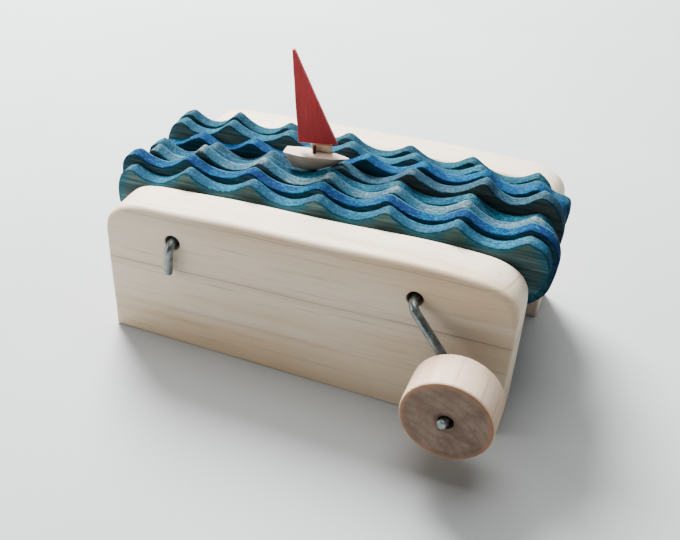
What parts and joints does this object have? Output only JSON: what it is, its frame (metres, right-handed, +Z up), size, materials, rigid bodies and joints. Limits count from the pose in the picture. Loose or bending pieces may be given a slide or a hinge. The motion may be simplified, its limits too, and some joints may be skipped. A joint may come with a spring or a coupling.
{
  "type": "toy boat",
  "caption": "Wooden crank toy: a small boat with a red sail rides on a stack of blue wave boards between end plates, moved by bent-wire cranks and a round knob.",
  "frame": {"origin": "centre of the base board's underside, level with the feet of the two end plates", "axes": "+X along the length towards the knob's side, -Y towards the knob, +Z up"},
  "size_m": [0.1099, 0.0838, 0.0692],
  "materials": {
    "pale_wood": "sanded, unfinished pale wood with fine grain",
    "dowel_wood": "sanded dowel wood",
    "crank_wire": "dull galvanised wire",
    "pin_steel": "dark oxidised pin",
    "red_paint": "red stained wood, satin",
    "wave_teal": "teal-blue stained wood",
    "wave_blue": "strong blue stained wood",
    "wave_grey": "grey-blue stained wood"
  },
  "bodies": {
    "frame": {"front_plate": "pale_wood", "back_plate": "pale_wood", "base_board": "pale_wood", "base_dowel_front_left": "dowel_wood", "base_dowel_back_left": "dowel_wood", "base_dowel_front_right": "dowel_wood", "base_dowel_back_right": "dowel_wood"},
    "drive_crank": {"drive_crank_wire": "crank_wire"},
    "knob": {"crank_knob": "dowel_wood"},
    "idle_crank": {"idle_crank_wire": "crank_wire"},
    "wave_1": {"wave_board_1": "wave_teal"},
    "wave_2": {"wave_board_2": "wave_blue"},
    "wave_3": {"wave_board_3": "wave_grey"},
    "wave_4": {"wave_board_4": "wave_teal"},
    "wave_5": {"wave_board_5": "wave_grey", "boat_hull": "pale_wood", "boat_pin": "pin_steel", "boat_sail": "red_paint", "sail_block": "dowel_wood"},
    "wave_6": {"wave_board_6": "wave_blue"},
    "wave_7": {"wave_board_7": "wave_grey"},
    "wave_8": {"wave_board_8": "wave_teal"}
  },
  "joints": [
    {"name": "crank_turn", "type": "hinge", "parent": "frame", "child": "drive_crank", "pos_m": [0.0274, -0.02965, 0.0318], "axis": [0, 1, 0], "continuous": true},
    {"name": "knob_spin", "type": "hinge", "parent": "drive_crank", "child": "knob", "pos_m": [0.0413, -0.0439, 0.0179], "axis": [0, 1, 0], "continuous": true},
    {"name": "idle_turn", "type": "hinge", "parent": "frame", "child": "idle_crank", "pos_m": [-0.0319, -0.02965, 0.0299], "axis": [0, 1, 0], "continuous": true},
    {"name": "wave_1_orbit", "type": "hinge", "parent": "drive_crank", "child": "wave_1", "pos_m": [0.02705, -0.01505, 0.03377], "axis": [0, 1, 0], "continuous": true},
    {"name": "wave_2_orbit", "type": "hinge", "parent": "drive_crank", "child": "wave_2", "pos_m": [0.02596, -0.01075, 0.03319], "axis": [0, 1, 0], "continuous": true},
    {"name": "wave_3_orbit", "type": "hinge", "parent": "drive_crank", "child": "wave_3", "pos_m": [0.02542, -0.00645, 0.03208], "axis": [0, 1, 0], "continuous": true},
    {"name": "wave_4_orbit", "type": "hinge", "parent": "drive_crank", "child": "wave_4", "pos_m": [0.02563, -0.00215, 0.03086], "axis": [0, 1, 0], "continuous": true},
    {"name": "wave_5_orbit", "type": "hinge", "parent": "drive_crank", "child": "wave_5", "pos_m": [0.02652, 0.00215, 0.03], "axis": [0, 1, 0], "continuous": true},
    {"name": "wave_6_orbit", "type": "hinge", "parent": "drive_crank", "child": "wave_6", "pos_m": [0.02775, 0.00645, 0.02983], "axis": [0, 1, 0], "continuous": true},
    {"name": "wave_7_orbit", "type": "hinge", "parent": "drive_crank", "child": "wave_7", "pos_m": [0.02884, 0.01075, 0.03041], "axis": [0, 1, 0], "continuous": true},
    {"name": "wave_8_orbit", "type": "hinge", "parent": "drive_crank", "child": "wave_8", "pos_m": [0.02938, 0.01505, 0.03152], "axis": [0, 1, 0], "continuous": true}
  ],
  "couplings": [
    {"joint": "idle_turn", "follows": "crank_turn", "ratio": 1},
    {"joint": "wave_1_orbit", "follows": "crank_turn", "ratio": -1},
    {"joint": "wave_2_orbit", "follows": "crank_turn", "ratio": -1},
    {"joint": "wave_3_orbit", "follows": "crank_turn", "ratio": -1},
    {"joint": "wave_4_orbit", "follows": "crank_turn", "ratio": -1},
    {"joint": "wave_5_orbit", "follows": "crank_turn", "ratio": -1},
    {"joint": "wave_6_orbit", "follows": "crank_turn", "ratio": -1},
    {"joint": "wave_7_orbit", "follows": "crank_turn", "ratio": -1},
    {"joint": "wave_8_orbit", "follows": "crank_turn", "ratio": -1}
  ]
}
